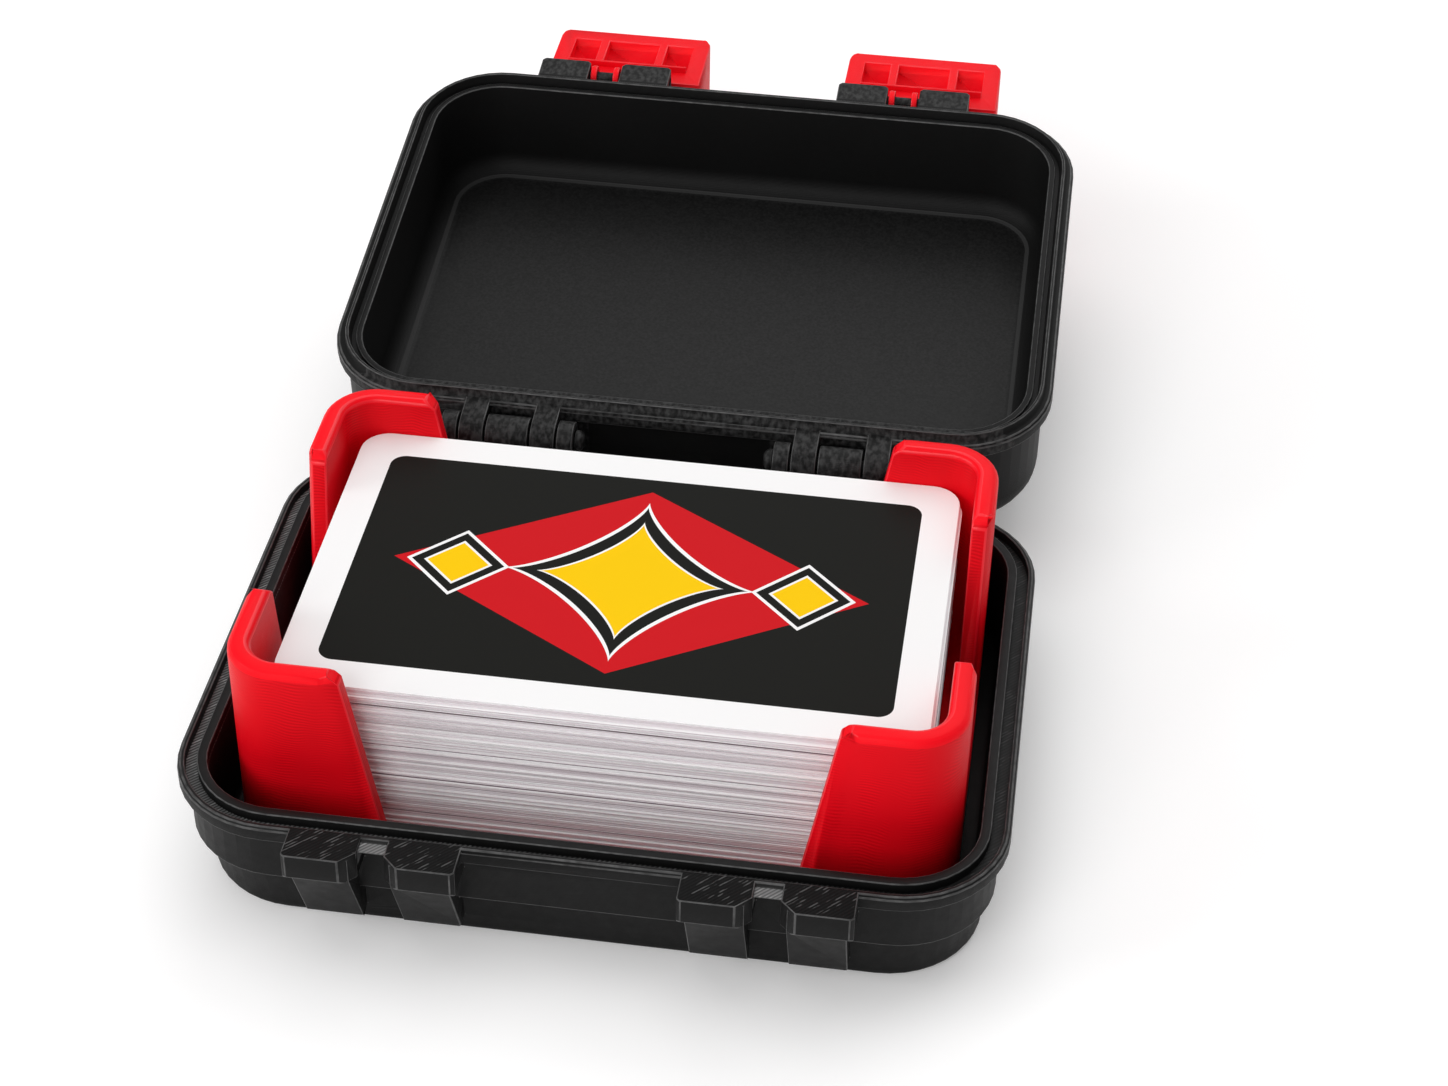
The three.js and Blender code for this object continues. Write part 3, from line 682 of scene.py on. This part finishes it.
def build_deck():
    """The packets of loose cards, and the printed card on top of them, all copies of one blank."""
    draw = random.Random(DECK_SEED)
    blank = card_blank("card_blank")
    blank.data.materials.append(card_edges())
    blank.data.materials.append(card_stock())
    middle_x = (TOP_CARD_LOW[0] + TOP_CARD_HIGH[0]) / 2
    middle_y = (TOP_CARD_LOW[1] + TOP_CARD_HIGH[1]) / 2
    deck_top = TOP_CARD_HIGH[2]
    below_top = PACKETS * CARDS_IN_PACKET
    for packet in range(1, PACKETS + 1):
        cards = []
        for _ in range(CARDS_IN_PACKET):
            below_top -= 1
            if below_top == 0:
                break
            proud = draw.uniform(*PROUD_MM) if draw.random() < PROUD_SHARE else draw.uniform(*SQUARED_MM)
            shift = Vector((middle_x + draw.gauss(0, SIDEWAYS_MM) * MM, middle_y - proud * MM,
                            deck_top - (below_top + 0.5) * CARD_MM * MM))
            cards.append(copy_of(blank, "card", math.radians(draw.gauss(0, TURNED_DEGREES)), shift))
        bundle = joined(cards, "cards_%d" % packet)
        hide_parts("card_packet_%d" % packet)
        keep(bundle, "deck")
    face_card = copy_of(blank, "face_card", 0, Vector((middle_x, middle_y, deck_top - CARD_MM * MM / 2)))
    face_card.data.materials[1] = card_back()
    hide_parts("top_card")
    keep(face_card, "deck")
    bpy.data.objects.remove(blank)


build_deck()


# Stage, light and camera, in metres and watts

FLOOR_SIZE = 6
FLOOR_LIFT = 0.12
ROOM_LIGHT = 0.4
SOFTBOXES = (
    # name, place, target, size, watts
    ("top_softbox", (-0.16, 0.16, 1.35), (0, 0.03, 0), (1.2, 1.0), 5.3),
    ("back_softbox", (0.3, 0.95, 0.9), (0, 0.05, 0), (1.5, 0.8), 4.8),
    ("front_softbox", (-0.35, -1.1, 0.76), (0, 0, 0.02), (0.9, 0.7), 6.9),
    ("left_softbox", (-1.1, -0.35, 0.55), (0, 0, 0.02), (0.6, 0.5), 4.2),
)


def floor_paint():
    """Matt white, lifted a little where the camera sees it."""
    paint = Paint("floor_paint", base_color=PAPER, roughness=1, specular_ior_level=0)
    seen = paint.node("LightPath", output="Is Camera Ray")
    glow = paint.node("Emission", None, {"Color": PURE_WHITE, "Strength": seen * FLOOR_LIFT})
    both = paint.node("AddShader", None, {0: Wire(paint, paint.surface.outputs[0]), 1: glow})
    paint.feed(paint.tree.nodes["Material Output"].inputs["Surface"], both)
    return paint.material


def build_floor():
    bpy.ops.object.select_all(action="DESELECT")
    bpy.ops.mesh.primitive_plane_add(size=FLOOR_SIZE)
    floor = bpy.context.active_object
    floor.name = "floor"
    floor.data.materials.append(floor_paint())


def softbox(name, place, target, size, watts):
    """A rectangular lamp that looks from its place at a target."""
    lamp = bpy.data.lights.new(name, "AREA")
    lamp.shape = "RECTANGLE"
    lamp.size, lamp.size_y = size
    lamp.energy = watts
    stand = bpy.data.objects.new(name, lamp)
    bpy.context.scene.collection.objects.link(stand)
    stand.location = place
    stand.rotation_euler = (Vector(target) - Vector(place)).to_track_quat("-Z", "Y").to_euler()


def build_room():
    """A soft light from all round, and a pure white where the camera sees past the floor."""
    world = bpy.data.worlds.new("studio")
    bpy.context.scene.world = world
    world.use_nodes = True
    graph = Graph(world.node_tree)
    seen = graph.node("LightPath", output="Is Camera Ray")
    strength = graph.node("Mix", None, {"Factor": seen, "A": ROOM_LIGHT, "B": 1}, output="Result")
    paper = world.node_tree.nodes["Background"]
    graph.feed(paper.inputs["Strength"], strength)
    graph.feed(paper.inputs["Color"], PURE_WHITE)


def build_camera():
    azimuth, elevation, roll = (math.radians(a) for a in (CAMERA_AZIMUTH, CAMERA_ELEVATION, CAMERA_ROLL))
    back = Vector((math.sin(azimuth) * math.cos(elevation), -math.cos(azimuth) * math.cos(elevation),
                   math.sin(elevation)))
    right = Vector((0, 0, 1)).cross(back).normalized()
    up = back.cross(right)
    turned_right = math.cos(roll) * right + math.sin(roll) * up
    turned_up = math.cos(roll) * up - math.sin(roll) * right
    lens = bpy.data.cameras.new("camera")
    lens.lens = LENS_MM
    lens.sensor_width = SENSOR_MM
    lens.clip_start = CAMERA_CLIP_MM * MM
    camera = bpy.data.objects.new("camera", lens)
    bpy.context.scene.collection.objects.link(camera)
    camera.matrix_world = Matrix((
        (turned_right.x, turned_up.x, back.x, CAMERA_PLACE_MM[0] * MM),
        (turned_right.y, turned_up.y, back.y, CAMERA_PLACE_MM[1] * MM),
        (turned_right.z, turned_up.z, back.z, CAMERA_PLACE_MM[2] * MM),
        (0, 0, 0, 1),
    ))
    bpy.context.scene.camera = camera


build_floor()
for lamp in SOFTBOXES:
    softbox(*lamp)
build_room()
build_camera()
bpy.context.scene.view_settings.view_transform = "Standard"
